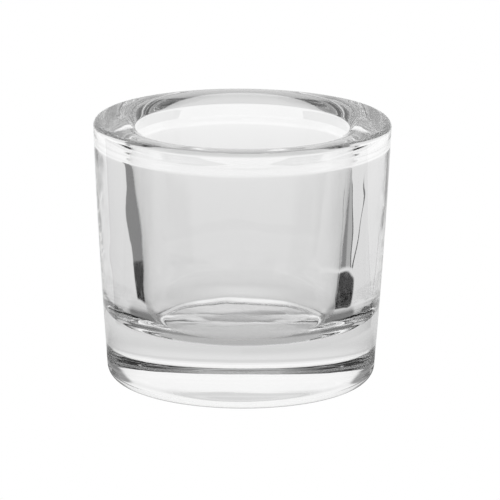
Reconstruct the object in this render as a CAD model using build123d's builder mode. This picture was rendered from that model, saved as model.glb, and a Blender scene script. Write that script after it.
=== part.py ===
"""Dappen dish: a small, heavy, thick-walled cup of clear pressed glass, in one piece.

The mould shapes the outside: a slightly barrelled wall that narrows towards the foot, a
flat bearing ring to stand on, and an underside hollowed clear of the table inside that ring.
The plunger shapes the well: a tapered round wall, a deeply rounded corner and a shallow
dished floor. The rim is flat only near its outer edge. Fire-polishing has rounded it over
inwards and drawn its inner edge in to a lip, a little narrower than the well just below it.
A faint line round the inside marks where the widening below the lip ends.

Frame: millimetres, +Z up, origin on the table plane at the centre of the bearing ring.
The section lies in the XZ plane and is turned once about the Z axis.
"""

import math
import os

from build123d import *

# Outside of the dish
HEIGHT = 55.0
RIM_RADIUS = 31.0  # outer wall carried up to the rim plane
FOOT_RADIUS = 27.8  # outer wall carried down to the table plane
WALL_BARREL = 0.27  # how far the wall stands out of a straight cone at mid-height
RIM_EDGE_RADIUS = 1.2  # fire-polished outer edge of the rim
FOOT_EDGE_RADIUS = 3.0  # rounded edge between the wall and the bearing ring

# Underside
RING_INNER_RADIUS = 24.0  # inner edge of the flat bearing ring
UNDERSIDE_RISE = 2.3  # how far the middle of the underside stands clear of the table

# Inner side of the rim, and the lip round the mouth of the well
RIM_FLAT_RADIUS = 28.6  # inner edge of the flat part of the rim
MOUTH_RADIUS = 22.4  # where the rounded rim meets the edge of the lip
MOUTH_DROP = 1.42  # how far that lies below the rim plane
LIP_EDGE_RADIUS = 0.25  # fire-polished edge of the lip
LIP_SLOPE = 0.3  # how fast the mouth widens below the lip, outwards per unit down
COLLAR_DEPTH = 4.15  # from the rim down to the line where that widening stops

# Wall and floor of the well
WELL_TOP_RADIUS = 23.2  # widest part of the well
WELL_TOP_DEPTH = 6.4  # from the rim down to that widest part
WELL_FOOT_RADIUS = 20.25  # where the wall turns into the rounded corner
WELL_BARREL = 0.05  # how far the well wall stands out of a straight cone
CORNER_HEIGHT = 6.0  # height of the rounded corner above the edge of the floor
FLOOR_RADIUS = 16.5  # edge of the dished floor
FLOOR_HEIGHT = 12.35  # glass between the table plane and the edge of the floor
FLOOR_DISH = 0.6  # how far the middle of the floor lies below its edge
CORNER_FULLNESS = 0.55  # share of its height and width that the rounded corner runs on for

# Points of the section, as (radius, height)
wall_middle = ((FOOT_RADIUS + RIM_RADIUS) / 2 + WALL_BARREL, HEIGHT / 2)
mouth = (MOUTH_RADIUS, HEIGHT - MOUTH_DROP)
well_top = (WELL_TOP_RADIUS, HEIGHT - WELL_TOP_DEPTH)
well_foot = (WELL_FOOT_RADIUS, FLOOR_HEIGHT + CORNER_HEIGHT)
well_middle = (
    (well_top[0] + well_foot[0]) / 2 + WELL_BARREL,
    (well_top[1] + well_foot[1]) / 2,
)
floor_edge = (FLOOR_RADIUS, FLOOR_HEIGHT)
floor_middle = (0, FLOOR_HEIGHT - FLOOR_DISH)

# The lip edge: a small arc that leaves the rounded rim smoothly and ends facing outwards and down
rim_rounding = ((RIM_FLAT_RADIUS - MOUTH_RADIUS) ** 2 + MOUTH_DROP**2) / (2 * MOUTH_DROP)
lip_start = 90 + math.degrees(math.asin((RIM_FLAT_RADIUS - MOUTH_RADIUS) / rim_rounding))
lip_end = 180 + math.degrees(math.atan(LIP_SLOPE))
lip_centre = (
    mouth[0] - LIP_EDGE_RADIUS * math.cos(math.radians(lip_start)),
    mouth[1] - LIP_EDGE_RADIUS * math.sin(math.radians(lip_start)),
)

os.makedirs("parts", exist_ok=True)

with BuildPart() as glass_dish:
    with BuildSketch(Plane.XZ) as section:
        with BuildLine():
            # Underside and bearing ring, from the axis outwards
            underside = TangentArc((0, UNDERSIDE_RISE), (RING_INNER_RADIUS, 0), tangent=(1, 0))
            Line(underside @ 1, (FOOT_RADIUS, 0))
            # Outer wall and the flat of the rim
            outer_wall = ThreePointArc((FOOT_RADIUS, 0), wall_middle, (RIM_RADIUS, HEIGHT))
            Line(outer_wall @ 1, (RIM_FLAT_RADIUS, HEIGHT))
            # Rounding of the rim, and the edge of the lip
            rounding = TangentArc((RIM_FLAT_RADIUS, HEIGHT), mouth, tangent=(-1, 0))
            lip = CenterArc(lip_centre, LIP_EDGE_RADIUS, lip_start, lip_end - lip_start)
            # Straight widening below the lip, then a line where the wall of the well takes over
            collar_drop = (lip @ 1).Y - (HEIGHT - COLLAR_DEPTH)
            collar = Line(lip @ 1, lip @ 1 + Vector(LIP_SLOPE, -1) * collar_drop)
            well_wall = ThreePointArc(well_top, well_middle, well_foot)
            wall_run = 0.35 * (WELL_TOP_DEPTH - COLLAR_DEPTH)
            below_collar = collar @ 1 + Vector(0, -wall_run)
            above_wall = Vector(*well_top) - well_wall % 0 * wall_run
            Bezier(collar @ 1, below_collar, above_wall, well_top)
            # Rounded corner and dished floor, back to the axis
            corner_start = Vector(*well_foot) + well_wall % 1 * CORNER_FULLNESS * CORNER_HEIGHT
            corner_run = CORNER_FULLNESS * (WELL_FOOT_RADIUS - FLOOR_RADIUS)
            Bezier(well_foot, corner_start, (FLOOR_RADIUS + corner_run, FLOOR_HEIGHT), floor_edge)
            dished_floor = TangentArc(floor_middle, floor_edge, tangent=(1, 0))
            Line(floor_middle, underside @ 0)
        make_face()
        # The two rounded outer edges, at the ends of the outer wall
        fillet(section.vertices().sort_by_distance(outer_wall @ 0)[0], FOOT_EDGE_RADIUS)
        fillet(section.vertices().sort_by_distance(outer_wall @ 1)[0], RIM_EDGE_RADIUS)
    revolve(axis=Axis.Z)

glass_dish.part.label = "glass_dish"
export_step(glass_dish.part, "parts/glass_dish.step")
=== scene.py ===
"""Looks for the dappen dish: one turned body of clear pressed glass on a white table.

The dish's section is the CAD part's, drawn again here in metres inside the frame's box.
Pressed glass is never quite true, so its surfaces carry shallow ripples as real geometry.
Clear glass shows little but its surroundings, so the table and the room are the lights: the
camera sees them as plain white, and the glass sees a studio.
"""

import math

import bpy
from mathutils import Matrix, Vector, noise


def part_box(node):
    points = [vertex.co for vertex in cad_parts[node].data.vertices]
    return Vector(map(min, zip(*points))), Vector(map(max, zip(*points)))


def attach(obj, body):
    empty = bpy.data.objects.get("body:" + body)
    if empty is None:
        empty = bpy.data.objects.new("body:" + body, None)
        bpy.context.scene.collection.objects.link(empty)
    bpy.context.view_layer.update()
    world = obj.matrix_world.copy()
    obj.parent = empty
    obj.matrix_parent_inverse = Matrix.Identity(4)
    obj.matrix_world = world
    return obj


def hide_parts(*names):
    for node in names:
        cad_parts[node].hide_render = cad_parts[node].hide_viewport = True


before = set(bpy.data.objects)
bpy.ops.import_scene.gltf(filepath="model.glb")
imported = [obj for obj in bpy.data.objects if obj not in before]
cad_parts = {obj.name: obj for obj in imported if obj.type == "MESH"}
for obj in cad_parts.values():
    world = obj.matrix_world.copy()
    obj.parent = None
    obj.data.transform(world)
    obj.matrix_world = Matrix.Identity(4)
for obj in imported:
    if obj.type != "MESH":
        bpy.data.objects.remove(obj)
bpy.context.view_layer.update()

MM = 0.001

# Outside of the dish, as in the CAD part
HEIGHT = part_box("glass_dish")[1].z
RIM_RADIUS = 31.0 * MM
FOOT_RADIUS = 27.8 * MM
WALL_BARREL = 0.27 * MM
RIM_EDGE_RADIUS = 1.2 * MM
FOOT_EDGE_RADIUS = 3.0 * MM

# Underside
RING_INNER_RADIUS = 24.0 * MM
UNDERSIDE_RISE = 2.3 * MM

# Rounded inner side of the rim, and the mouth of the well
RIM_FLAT_RADIUS = 28.6 * MM
MOUTH_RADIUS = 22.4 * MM
MOUTH_DROP = 1.42 * MM
LIP_EDGE_RADIUS = 0.25 * MM
LIP_SLOPE = 0.3
COLLAR_DEPTH = 4.15 * MM
WELL_TOP_RADIUS = 23.2 * MM
WELL_TOP_DEPTH = 6.4 * MM
WELL_TOP_FULLNESS = 0.35

# Wall and floor of the well
WELL_FOOT_RADIUS = 20.25 * MM
WELL_BARREL = 0.05 * MM
CORNER_HEIGHT = 6.0 * MM
FLOOR_RADIUS = 16.5 * MM
FLOOR_HEIGHT = 12.35 * MM
FLOOR_DISH = 0.6 * MM
CORNER_FULLNESS = 0.55

# Heights of the ripples that pressing and cooling leave in the surfaces
OUTSIDE_RIPPLE = 0.02 * MM
WALL_RIPPLE = 0.06 * MM
FLOOR_RIPPLE = 0.14 * MM
CORNER_RIPPLE = 0.025 * MM
UNDERSIDE_RIPPLE = 0.05 * MM
RING_RIPPLE = 0.3 * MM
INSET = 0.008 * MM  # keeps the outer wall inside the CAD box

# Steps of the mesh
TURNS = 288
COLLAR_STEPS = (0.0, 0.1, 0.3, 0.5, 0.7, 0.9, 0.98)


# ---------------------------------------------------------------- section of the dish


def mix(a, b, t):
    return a + (b - a) * t


def smoothstep(t):
    t = min(max(t, 0.0), 1.0)
    return t * t * (3 - 2 * t)


def on_circle(centre, radius, degrees):
    angle = math.radians(degrees)
    return (centre[0] + radius * math.cos(angle), centre[1] + radius * math.sin(angle))


def arc(centre, radius, start, end, steps):
    """Points on a circular arc; start and end are angles in degrees, and the end is left out."""
    return [on_circle(centre, radius, mix(start, end, i / steps)) for i in range(steps)]


def bezier(p0, p1, p2, p3, steps):
    """Points on a cubic Bezier curve, with the last one left out."""
    points = []
    for i in range(steps):
        t = i / steps
        weights = ((1 - t) ** 3, 3 * t * (1 - t) ** 2, 3 * t**2 * (1 - t), t**3)
        points.append(
            tuple(sum(w * p[k] for w, p in zip(weights, (p0, p1, p2, p3))) for k in (0, 1))
        )
    return points


def outer_radius(z):
    """Radius of the outer wall, a cone that stands out a little at mid-height."""
    t = z / HEIGHT
    return mix(FOOT_RADIUS, RIM_RADIUS, t) + WALL_BARREL * 4 * t * (1 - t)


def well_point(t):
    """Point on the well wall, from its top at t = 0 to the start of the corner at t = 1."""
    top = HEIGHT - WELL_TOP_DEPTH
    foot = FLOOR_HEIGHT + CORNER_HEIGHT
    barrel = WELL_BARREL * 4 * t * (1 - t)
    return (mix(WELL_TOP_RADIUS, WELL_FOOT_RADIUS, t) + barrel, mix(top, foot, t))


def direction(a, b):
    length = math.dist(a, b)
    return ((b[0] - a[0]) / length, (b[1] - a[1]) / length)


def underside_section(steps=26):
    """The shallow hollow under the dish, from the axis out to the bearing ring."""
    points = []
    for i in range(steps):
        r = RING_INNER_RADIUS * i / steps
        points.append((r, UNDERSIDE_RISE * (1 - (r / RING_INNER_RADIUS) ** 2)))
    return points


def outside_section(steps=40):
    """Bearing ring, foot edge, outer wall and rim edge, out to the end of the rim's flat."""
    foot_centre = outer_radius(FOOT_EDGE_RADIUS) - FOOT_EDGE_RADIUS
    rim_start = HEIGHT - RIM_EDGE_RADIUS
    rim_centre = outer_radius(rim_start) - RIM_EDGE_RADIUS
    points = [(mix(RING_INNER_RADIUS, foot_centre, i / 4), 0.0) for i in range(4)]
    points += arc((foot_centre, FOOT_EDGE_RADIUS), FOOT_EDGE_RADIUS, -90, 0, 14)
    for i in range(steps):
        z = mix(FOOT_EDGE_RADIUS, rim_start, i / steps)
        points.append((outer_radius(z), z))
    points += arc((rim_centre, rim_start), RIM_EDGE_RADIUS, 0, 90, 10)
    points += [(mix(rim_centre, RIM_FLAT_RADIUS, i / 4), HEIGHT) for i in range(4)]
    return points


def rim_section():
    """Rim from the end of its flat, rounding down and inwards, and round the lip. The end of
    the lip is returned with it."""
    width = RIM_FLAT_RADIUS - MOUTH_RADIUS
    rounding = (width**2 + MOUTH_DROP**2) / (2 * MOUTH_DROP)
    start = 90 + math.degrees(math.asin(width / rounding))
    end = 180 + math.degrees(math.atan(LIP_SLOPE))
    lip_centre = on_circle((MOUTH_RADIUS, HEIGHT - MOUTH_DROP), -LIP_EDGE_RADIUS, start)
    points = arc((RIM_FLAT_RADIUS, HEIGHT - rounding), rounding, 90, start, 18)
    points += arc(lip_centre, LIP_EDGE_RADIUS, start, end, 8)
    return points, on_circle(lip_centre, LIP_EDGE_RADIUS, end)


def well_section(lip, steps=36):
    """From the lip down the collar, well wall and rounded corner to the middle of the floor."""
    top = well_point(0)
    foot = well_point(1)
    down_top = direction(top, well_point(0.01))
    down_foot = direction(well_point(0.99), foot)
    collar_z = HEIGHT - COLLAR_DEPTH
    collar = (lip[0] + LIP_SLOPE * (lip[1] - collar_z), collar_z)
    points = [(mix(lip[0], collar[0], t), mix(lip[1], collar[1], t)) for t in COLLAR_STEPS]
    reach = WELL_TOP_FULLNESS * (WELL_TOP_DEPTH - COLLAR_DEPTH)
    points += bezier(
        collar,
        (collar[0], collar[1] - reach),
        (top[0] - down_top[0] * reach, top[1] - down_top[1] * reach),
        top,
        14,
    )
    points += [well_point(i / steps) for i in range(steps)]
    handle = CORNER_FULLNESS * CORNER_HEIGHT
    corner_run = CORNER_FULLNESS * (WELL_FOOT_RADIUS - FLOOR_RADIUS)
    points += bezier(
        foot,
        (foot[0] + down_foot[0] * handle, foot[1] + down_foot[1] * handle),
        (FLOOR_RADIUS + corner_run, FLOOR_HEIGHT),
        (FLOOR_RADIUS, FLOOR_HEIGHT),
        18,
    )
    for i in range(21):
        r = FLOOR_RADIUS * (1 - i / 20)
        points.append((r, FLOOR_HEIGHT - FLOOR_DISH * (1 - (r / FLOOR_RADIUS) ** 2)))
    return points


# ---------------------------------------------------------------- ripples of pressed glass


def waves(p, x, y, z, shift=0.0):
    """Smooth noise from -1 to 1 whose waves are x, y and z millimetres long."""
    return noise.noise(Vector((p.x / (x * MM), p.y / (y * MM), p.z / (z * MM) + shift)))


def flat_waves(p, x, y, layer):
    """The same for a level surface; each layer is a different pattern."""
    return noise.noise(Vector((p.x / (x * MM), p.y / (y * MM), layer)))


def moved(p, outwards, up=0.0):
    """p moved away from the axis and upwards."""
    scale = 1 + outwards / max(math.hypot(p.x, p.y), MM)
    return Vector((p.x * scale, p.y * scale, p.z + up))


def ripple_outside(p):
    """Faint waves in the outer wall, which only go inwards."""
    fade = smoothstep((p.z - 4 * MM) / (4 * MM)) * smoothstep((HEIGHT - 3 * MM - p.z) / (4 * MM))
    dent = abs(waves(p, 11, 11, 19, 7.0)) * OUTSIDE_RIPPLE * fade
    return moved(p, -dent - INSET)


def ripple_well(p):
    """Long upright waves and finer ones in the wall, short upright streaks in the corner,
    where the glass chilled first, and an uneven skin on the floor."""
    fade = smoothstep((HEIGHT - 2 * MM - p.z) / (5 * MM))
    fade *= smoothstep((p.z - FLOOR_HEIGHT) / (2 * MM))
    wall = waves(p, 7.5, 7.5, 13) + 0.35 * waves(p, 3.5, 3.5, 6, 3.0)
    corner_top = FLOOR_HEIGHT + CORNER_HEIGHT
    corner_fade = smoothstep((corner_top + 2 * MM - p.z) / (4 * MM)) * fade
    corner = waves(p, 1.6, 1.6, 6, 9.0)
    push = wall * WALL_RIPPLE * fade + corner * CORNER_RIPPLE * corner_fade
    inside = smoothstep((FLOOR_RADIUS + 0.5 * MM - math.hypot(p.x, p.y)) / (2.5 * MM))
    floor = flat_waves(p, 8.5, 6.5, 11.0) + 0.3 * flat_waves(p, 4.0, 3.2, 5.0)
    return moved(p, push, floor * FLOOR_RIPPLE * inside)


def ripple_underside(p):
    """Waves in the hollow, and a ragged inner edge where the ring was pressed."""
    r = math.hypot(p.x, p.y)
    around = Vector((p.x, p.y, 0.0)) / max(r, MM)
    ragged = noise.noise(around * 9.0) + 0.6 * noise.noise(around * 31.0)
    near_ring = smoothstep((r - RING_INNER_RADIUS + 1.5 * MM) / MM)
    fade = smoothstep((RING_INNER_RADIUS - r) / (6 * MM))
    lift = flat_waves(p, 9, 9, 2.0) * UNDERSIDE_RIPPLE * fade
    return moved(p, ragged * RING_RIPPLE * near_ring, lift)


def plain(p):
    return p


# ---------------------------------------------------------------- the glass body


def turned_mesh(name, stretches, turns):
    """A closed mesh: the section turned about Z. Each stretch of the section is its points
    and the ripple of its surface; the first and last points of the section are on the axis."""
    rings = []
    for points, ripple in stretches:
        for r, z in points:
            ring = []
            for i in range(turns if r > 0 else 1):
                angle = 2 * math.pi * i / turns
                ring.append(ripple(Vector((r * math.cos(angle), r * math.sin(angle), z))))
            rings.append(ring)
    vertices = [vertex for ring in rings for vertex in ring]
    last = len(vertices) - 1
    top = last - turns
    faces = []
    for i in range(turns):
        j = (i + 1) % turns
        faces.append((0, 1 + j, 1 + i))
        for k in range(len(rings) - 3):
            low = 1 + k * turns
            high = low + turns
            faces.append((low + i, low + j, high + j, high + i))
        faces.append((top + i, top + j, last))
    mesh = bpy.data.meshes.new(name)
    mesh.from_pydata(vertices, [], faces)
    mesh.validate()
    mesh.polygons.foreach_set("use_smooth", [True] * len(mesh.polygons))
    return mesh


def make_dish():
    rim, lip = rim_section()
    stretches = (
        (underside_section(), ripple_underside),
        (outside_section(), ripple_outside),
        (rim, plain),
        (well_section(lip), ripple_well),
    )
    mesh = turned_mesh("glass_dish_body", stretches, TURNS)
    dish = bpy.data.objects.new("glass_dish_body", mesh)
    bpy.context.scene.collection.objects.link(dish)
    return dish


# ---------------------------------------------------------------- shader nodes


class Graph:
    """Short calls for the nodes of one tree; what a call takes may be a number or a socket."""

    def __init__(self, tree):
        self.nodes = tree.nodes
        self.links = tree.links
        self.nodes.clear()

    def new(self, kind):
        return self.nodes.new(kind)

    def put(self, socket, value):
        if isinstance(value, (int, float)):
            socket.default_value = value
        else:
            self.links.new(value, socket)

    def math(self, operation, *values):
        node = self.new("ShaderNodeMath")
        node.operation = operation
        for socket, value in zip(node.inputs, values):
            self.put(socket, value)
        return node.outputs[0]

    def product(self, first, *others):
        for other in others:
            first = self.math("MULTIPLY", first, other)
        return first

    def split(self, vector):
        """The three parts of a vector."""
        node = self.new("ShaderNodeSeparateXYZ")
        self.links.new(vector, node.inputs[0])
        return node.outputs

    def ramp(self, value, start, end, low=0.0, high=1.0):
        """Smooth step from low to high as value goes from start to end."""
        node = self.new("ShaderNodeMapRange")
        node.interpolation_type = "SMOOTHSTEP"
        self.links.new(value, node.inputs["Value"])
        node.inputs["From Min"].default_value = start
        node.inputs["From Max"].default_value = end
        node.inputs["To Min"].default_value = low
        node.inputs["To Max"].default_value = high
        return node.outputs["Result"]

    def band(self, value, rise, fall):
        """1 between the two ramps and 0 outside them; each is given by its start and end."""
        up = self.ramp(value, rise[0], rise[1])
        down = self.ramp(value, fall[0], fall[1], 1.0, 0.0)
        return self.math("MULTIPLY", up, down)

    def mix(self, factor, low, high):
        """Value that goes from low to high as factor goes from 0 to 1."""
        node = self.new("ShaderNodeMix")
        node.data_type = "FLOAT"
        self.put(node.inputs["Factor"], factor)
        self.put(node.inputs["A"], low)
        self.put(node.inputs["B"], high)
        return node.outputs["Result"]

    def noise(self, place, scale, detail):
        node = self.new("ShaderNodeTexNoise")
        node.inputs["Scale"].default_value = scale
        node.inputs["Detail"].default_value = detail
        self.links.new(place, node.inputs["Vector"])
        return node.outputs["Fac"]

    def turn_from_back(self, x, y):
        """Angle round the dish in degrees, 0 straight behind it and 180 in front."""
        turn = self.math("ARCTAN2", x, y)
        turn = self.math("ABSOLUTE", turn)
        return self.math("DEGREES", turn)

    def line_offset(self, place, line):
        """Distance of place to the left of a line on the table, given by its start and end,
        and the number that this distance has on the line itself."""
        start, end = line
        along = (Vector(end) - Vector(start)).normalized()
        normal = Vector((-along.y, along.x, 0.0))
        offset = self.new("ShaderNodeVectorMath")
        offset.operation = "DOT_PRODUCT"
        self.links.new(place, offset.inputs[0])
        offset.inputs[1].default_value = normal
        return offset.outputs["Value"], normal.dot(Vector((*start, 0.0)))

    def past_line(self, place, line, soft, wave=None):
        """1 on the left of the line, 0 on its right, ramped over soft metres; wave moves it."""
        offset, on_line = self.line_offset(place, line)
        if wave is not None:
            offset = self.math("ADD", offset, wave)
        return self.ramp(offset, on_line - soft / 2, on_line + soft / 2)

    def along_line(self, place, line, half_width):
        """1 along the line, 0 beside it."""
        offset, on_line = self.line_offset(place, line)
        rise = (on_line - 1.5 * half_width, on_line - half_width)
        fall = (on_line + half_width, on_line + 1.5 * half_width)
        return self.band(offset, rise, fall)

    def white_to_camera(self, level):
        """The level for every ray but the camera's own, which sees plain white."""
        seen = self.new("ShaderNodeLightPath")
        return self.math("MAXIMUM", level, seen.outputs["Is Camera Ray"])


def new_material(name):
    material = bpy.data.materials.new(name)
    material.use_nodes = True
    return material, Graph(material.node_tree)


# ---------------------------------------------------------------- glass

REFRACTIVE_INDEX = 1.52
GLASS_TINT = (0.90, 0.905, 0.905, 1)
HAZE_SCALE = 90
HAZE_ROUGHNESS = 0.012
SCUFF_SCALE = 900
SCUFF_ROUGHNESS = (0.02, 0.30)
SKIN_SCALE = 260
SKIN_HEIGHT = 0.008 * MM
SKIN_STRENGTH = 0.35


def glass_material():
    """Clear glass: fire-polished, so smooth nearly all over, with faint finger haze, a fine
    orange-peel skin, and scuffs on the ring it stands on."""
    material, graph = new_material("clear_pressed_glass")
    glass = graph.new("ShaderNodeBsdfPrincipled")
    glass.inputs["Base Color"].default_value = (1, 1, 1, 1)
    glass.inputs["IOR"].default_value = REFRACTIVE_INDEX
    glass.inputs["Transmission Weight"].default_value = 1.0

    place = graph.new("ShaderNodeTexCoord").outputs["Object"]
    haze = graph.ramp(graph.noise(place, HAZE_SCALE, 4), 0.55, 0.80, 0.0, HAZE_ROUGHNESS)
    scuffs = graph.ramp(graph.noise(place, SCUFF_SCALE, 6), 0.42, 0.62, *SCUFF_ROUGHNESS)
    on_ring = graph.ramp(graph.split(place)["Z"], 0.04 * MM, 0.15 * MM, 1.0, 0.0)
    graph.put(glass.inputs["Roughness"], graph.mix(on_ring, haze, scuffs))
    skin = graph.new("ShaderNodeBump")
    skin.inputs["Strength"].default_value = SKIN_STRENGTH
    skin.inputs["Distance"].default_value = SKIN_HEIGHT
    graph.put(skin.inputs["Height"], graph.noise(place, SKIN_SCALE, 3))
    graph.put(glass.inputs["Normal"], skin.outputs["Normal"])

    absorption = graph.new("ShaderNodeVolumeAbsorption")
    absorption.inputs["Color"].default_value = GLASS_TINT
    absorption.inputs["Density"].default_value = 1.0
    output = graph.new("ShaderNodeOutputMaterial")
    graph.put(output.inputs["Surface"], glass.outputs["BSDF"])
    graph.put(output.inputs["Volume"], absorption.outputs["Volume"])
    return material


# ---------------------------------------------------------------- light of the room

# Brightness, where white is 1
BACK_PANEL = 1.0
BACK_HIGH = 0.70
BACK_LOW = 0.88
SIDE_ROOM = 0.27
SIDE_HIGH = 0.35
FRONT_ROOM = 0.06
FRONT_DARK = 0.0
CEILING = 0.40
PANEL_FLARE = 12.0  # degrees that the panel spreads at each side near the table


def make_world():
    """A plain studio: a white panel behind, dim sides, a dark room in front and a soft grey
    ceiling. Angles are in degrees, round from the back and up from the table."""
    world = bpy.data.worlds.new("studio")
    bpy.context.scene.world = world
    world.use_nodes = True
    graph = Graph(world.node_tree)
    x, y, z = graph.split(graph.new("ShaderNodeTexCoord").outputs["Generated"])
    turn = graph.turn_from_back(x, y)
    rise = graph.math("DEGREES", graph.math("ARCSINE", z))

    back = graph.ramp(rise, 30, 42, BACK_PANEL, BACK_HIGH)
    back = graph.mix(graph.ramp(rise, 1, 7), BACK_LOW, back)
    side = graph.ramp(rise, 12, 20, SIDE_ROOM, SIDE_HIGH)
    flare = graph.ramp(rise, 7, 14, PANEL_FLARE, 0.0)
    past_panel = graph.ramp(graph.math("SUBTRACT", turn, flare), 48, 56)
    level = graph.mix(past_panel, back, side)
    level = graph.mix(graph.ramp(rise, 60, 72), level, CEILING)
    front = graph.ramp(rise, 6, 18, FRONT_ROOM, FRONT_DARK)
    front = graph.mix(graph.ramp(rise, 72, 84), front, CEILING)
    level = graph.mix(graph.ramp(turn, 90, 112), level, front)

    background = graph.new("ShaderNodeBackground")
    background.inputs["Color"].default_value = (1, 1, 1, 1)
    graph.put(background.inputs["Strength"], graph.white_to_camera(level))
    output = graph.new("ShaderNodeOutputWorld")
    graph.put(output.inputs["Surface"], background.outputs[0])


# ---------------------------------------------------------------- light of the table

# Brightness of the painted light and shade on the table, which only the glass sees, where white
# is 1; first the painted shadow under the dish
SHADOW_UNDER_DISH = 0.48
# painted highlight on the table close behind the dish
TABLE_HIGHLIGHT = 1.0
# painted shade on the table near the dish: behind it, at the sides and in front
SHADE_NEAR_BACK = 0.67
SHADE_NEAR_SIDE = 0.19
SHADE_NEAR_FRONT = 0.28
# painted light on the table farther out, brighter behind the dish than in front
TABLE_MIDDLE = 0.75
TABLE_FAR_FRONT = 0.56
# painted shade in the patches left and right of the dish
SHADE_PATCH_DARK = 0.02
SHADE_PATCH_MOTTLE = 0.12
SHADE_PATCH_DEEP = 0.21
SHADE_PATCH_GREY = 0.42
SHADE_PATCH_FAR = 0.25
# thin lines of painted shade on the right
SHADE_LINE_DARK = 0.10

# Back edges of the patches of painted shade on the table, each written so that the patch lies on
# its left
LEFT_SHADE_EDGE = ((-0.062, 0.020), (-0.112, 0.065))
RIGHT_SHADE_EDGE = ((0.1085, 0.0437), (0.067, 0.0355))
RIGHT_STRIP_EDGE = ((0.0650, 0.0400), (0.055, 0.0260))
RIGHT_SHADE_LINE = ((0.072, 0.045), (0.0965, 0.090))
SHADE_EDGE_SOFT = 3 * MM
SHADE_EDGE_BULGE = 6 * MM
SHADE_LINE_HALF_WIDTH = 0.9 * MM


def bare_table(graph, reach, turn):
    """Brightness of the table without the shade patches, by distance from the dish and by angle
    from
    the back: painted shade near the dish and in front, with a painted highlight in a crescent
    close behind it and a painted pool of light beyond it."""
    # painted shade near the foot, darkest at the sides
    near_front = graph.ramp(turn, 104, 116, SHADE_NEAR_SIDE, SHADE_NEAR_FRONT)
    near = graph.mix(graph.ramp(turn, 56, 68), SHADE_NEAR_BACK, near_front)
    # painted highlight: a bright crescent on the table just behind the foot
    crescent = graph.band(reach, (0.024, 0.025), (0.027, 0.029))
    crescent = graph.product(crescent, graph.ramp(turn, 22, 40, 1, 0))
    near = graph.mix(crescent, near, TABLE_HIGHLIGHT)
    # painted pool of light on the table behind the dish
    gleam = graph.band(reach, (0.028, 0.038), (0.042, 0.052))
    gleam = graph.product(gleam, graph.ramp(turn, 0, 34, 0.4, 0))
    near = graph.mix(gleam, near, TABLE_HIGHLIGHT)
    # painted light farther out, brighter behind the dish than in front
    middle = graph.ramp(turn, 97, 104, TABLE_MIDDLE, TABLE_FAR_FRONT)
    far = graph.ramp(turn, 97, 104, BACK_PANEL, TABLE_FAR_FRONT)
    level = graph.mix(graph.ramp(reach, 0.038, 0.066), near, middle)
    return graph.mix(graph.ramp(reach, 0.100, 0.300), level, far)


def with_shade_patches(graph, level, place, reach, turn, on_right):
    """Painted shade in grey patches left and right, laid out like cards, which stop short of the
    dish and of the front.
    """
    bulge = graph.band(reach, (0.094, 0.106), (0.112, 0.126))
    bulge = graph.product(bulge, SHADE_EDGE_BULGE)
    left = graph.past_line(place, LEFT_SHADE_EDGE, SHADE_EDGE_SOFT, bulge)
    right = graph.past_line(place, RIGHT_SHADE_EDGE, SHADE_EDGE_SOFT)
    # painted shade: where the patches lie, the table's light is darker
    shade_patch = graph.product(
        graph.math("MAXIMUM", left, right),
        graph.ramp(turn, 108, 116, 1.0, 0.0),
        graph.band(reach, (0.078, 0.081), (0.240, 0.340)),
    )
    light_part = graph.product(graph.ramp(turn, 71, 74, 1, 0), on_right)
    grey = graph.mix(light_part, SHADE_PATCH_DEEP, SHADE_PATCH_GREY)
    grey = graph.mix(graph.ramp(reach, 0.140, 0.160), grey, SHADE_PATCH_FAR)
    grey = graph.mix(graph.ramp(turn, 79, 84), grey, SHADE_PATCH_DARK)
    level = graph.mix(shade_patch, level, grey)

    # strips of painted shade, mottled, nearest the dish
    strip_left = graph.product(graph.band(reach, (0.060, 0.062), (0.081, 0.083)), left)
    right_strip_side = graph.past_line(place, RIGHT_STRIP_EDGE, SHADE_EDGE_SOFT)
    strip_right = graph.band(reach, (0.056, 0.058), (0.076, 0.078))
    strip_right = graph.product(strip_right, right_strip_side, on_right)
    mottle = graph.ramp(graph.noise(place, 160, 5), 0.50, 0.75, SHADE_PATCH_DARK, SHADE_PATCH_MOTTLE)
    return graph.mix(graph.math("MAXIMUM", strip_left, strip_right), level, mottle)


def with_shade_lines(graph, level, place, reach, on_right):
    """Two thin lines of painted shade on the right: one along the edge of the right patch and
    one beyond it.
    """
    shade_line = graph.along_line(place, RIGHT_SHADE_LINE, SHADE_LINE_HALF_WIDTH)
    edge = graph.along_line(place, RIGHT_SHADE_EDGE, SHADE_LINE_HALF_WIDTH)
    shade_line = graph.math("MAXIMUM", shade_line, edge)
    shade_line = graph.product(shade_line, graph.band(reach, (0.079, 0.080), (0.128, 0.134)), on_right)
    return graph.mix(shade_line, level, SHADE_LINE_DARK)


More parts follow.
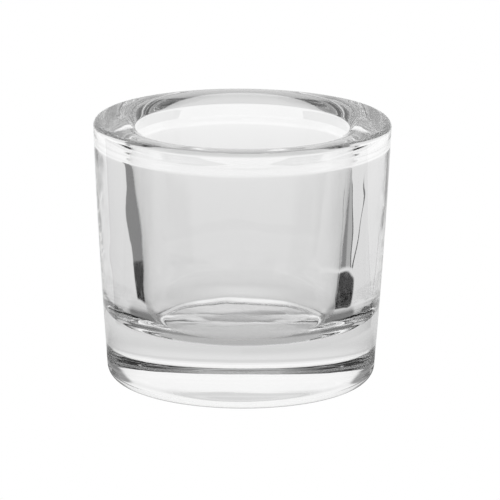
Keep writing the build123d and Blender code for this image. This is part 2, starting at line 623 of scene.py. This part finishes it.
def table_material():
    """White table. The glass sees painted shade on it near the foot, a painted shadow under the
    dish, and much darker painted shade in patches left and right of it, laid out like cards."""
    material, graph = new_material("white_table")
    place = graph.new("ShaderNodeNewGeometry").outputs["Position"]
    parts = graph.split(place)
    turn = graph.turn_from_back(parts["X"], parts["Y"])
    on_right = graph.ramp(parts["X"], 0.0, MM)
    length = graph.new("ShaderNodeVectorMath")
    length.operation = "LENGTH"
    graph.put(length.inputs[0], place)
    reach = length.outputs["Value"]

    level = bare_table(graph, reach, turn)
    level = with_shade_patches(graph, level, place, reach, turn, on_right)
    level = with_shade_lines(graph, level, place, reach, on_right)
    # painted shadow of the dish on the table, inside its bearing ring
    level = graph.mix(graph.ramp(reach, 0.023, 0.027), SHADOW_UNDER_DISH, level)

    light = graph.new("ShaderNodeEmission")
    graph.put(light.inputs["Strength"], graph.white_to_camera(level))
    output = graph.new("ShaderNodeOutputMaterial")
    graph.put(output.inputs["Surface"], light.outputs[0])
    return material


# ---------------------------------------------------------------- stage and camera

TABLE_SIZE = 4.0
TABLE_GAP = 0.02 * MM  # the table lies just under the bearing ring


def make_table():
    size = TABLE_SIZE
    mesh = bpy.data.meshes.new("table")
    corners = [(-size, -size, 0), (size, -size, 0), (size, size, 0), (-size, size, 0)]
    mesh.from_pydata(corners, [], [(0, 1, 2, 3)])
    floor = bpy.data.objects.new("table", mesh)
    bpy.context.scene.collection.objects.link(floor)
    floor.location.z = -TABLE_GAP
    mesh.materials.append(table_material())


CAMERA_HEIGHT_ANGLE = 14.34
CAMERA_DISTANCE = 0.950
CAMERA_LENS = 327.5
CAMERA_ROLL = 0.0069
AIM = Vector((1.75 * MM, 0.0, 27.05 * MM))


def make_camera():
    data = bpy.data.cameras.new("camera")
    data.lens = CAMERA_LENS
    data.sensor_width = 36.0
    data.clip_end = 50.0
    camera = bpy.data.objects.new("camera", data)
    bpy.context.scene.collection.objects.link(camera)
    angle = math.radians(CAMERA_HEIGHT_ANGLE)
    ahead = Vector((0, math.cos(angle), -math.sin(angle)))
    right = Vector((1, 0, 0))
    up = right.cross(ahead)
    rolled_right = right + up * CAMERA_ROLL
    rolled_up = up - right * CAMERA_ROLL
    axes = Matrix((rolled_right.normalized(), rolled_up.normalized(), -ahead)).transposed()
    camera.matrix_world = Matrix.Translation(AIM - ahead * CAMERA_DISTANCE) @ axes.to_4x4()
    bpy.context.scene.camera = camera


def set_look():
    """Plain colours, and enough bounces for light to find its way through thick glass."""
    scene = bpy.context.scene
    scene.view_settings.view_transform = "Standard"
    scene.view_settings.look = "None"
    scene.cycles.max_bounces = 32
    scene.cycles.transmission_bounces = 32
    scene.cycles.glossy_bounces = 32
    scene.cycles.blur_glossy = 0.0
    scene.cycles.caustics_reflective = True
    scene.cycles.caustics_refractive = True


dish = make_dish()
dish.data.materials.append(glass_material())
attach(dish, "root")
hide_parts("glass_dish")
make_table()
make_world()
make_camera()
set_look()
